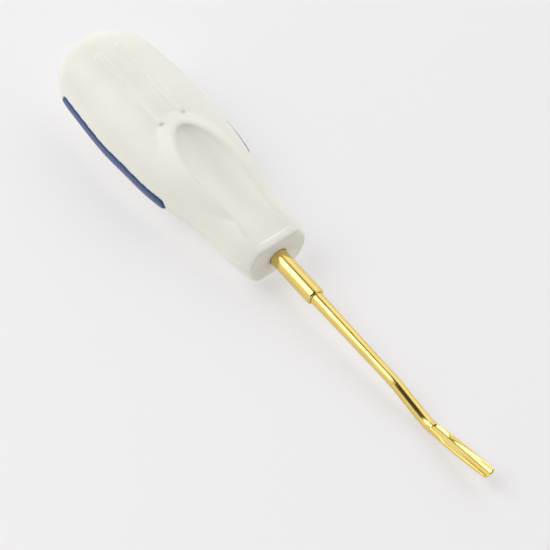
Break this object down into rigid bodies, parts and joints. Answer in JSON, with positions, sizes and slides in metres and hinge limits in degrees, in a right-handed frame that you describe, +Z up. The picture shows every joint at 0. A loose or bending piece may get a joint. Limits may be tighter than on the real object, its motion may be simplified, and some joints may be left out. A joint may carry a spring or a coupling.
{
  "type": "dental elevator",
  "caption": "Dental elevator with a bulbous thumb-rest handle, coloured side inlays, gold-coloured shank, double bend and grooved blade.",
  "frame": {"origin": "under the centre of the bounding box, on the surface the tool rests on, touching with its lower ribs and the heel of its blade", "axes": "+X forwards from the handle to the tip, +Y to the left, +Z up out of the thumb scoop side; the shank's own axis dips 4.3 degrees below +X"},
  "size_m": [0.1446, 0.028, 0.021],
  "materials": {
    "handle_white": "satin moulded warm white",
    "inlay_blue": "satin dark blue",
    "core_nylon": "moulded grey",
    "coated_steel": "polished gold-coloured titanium nitride coating on stainless steel",
    "seal_rubber": "moulded",
    "plain_steel": "ground"
  },
  "bodies": {
    "root": {"handle_upper_shell": "handle_white", "handle_lower_shell": "handle_white", "side_inlay_left": "inlay_blue", "side_inlay_right": "inlay_blue", "handle_core": "core_nylon", "collar": "coated_steel", "nose_seal": "seal_rubber", "tang_pin_front": "plain_steel", "tang_pin_rear": "plain_steel", "blade_and_shank": "coated_steel"}
  },
  "joints": []
}
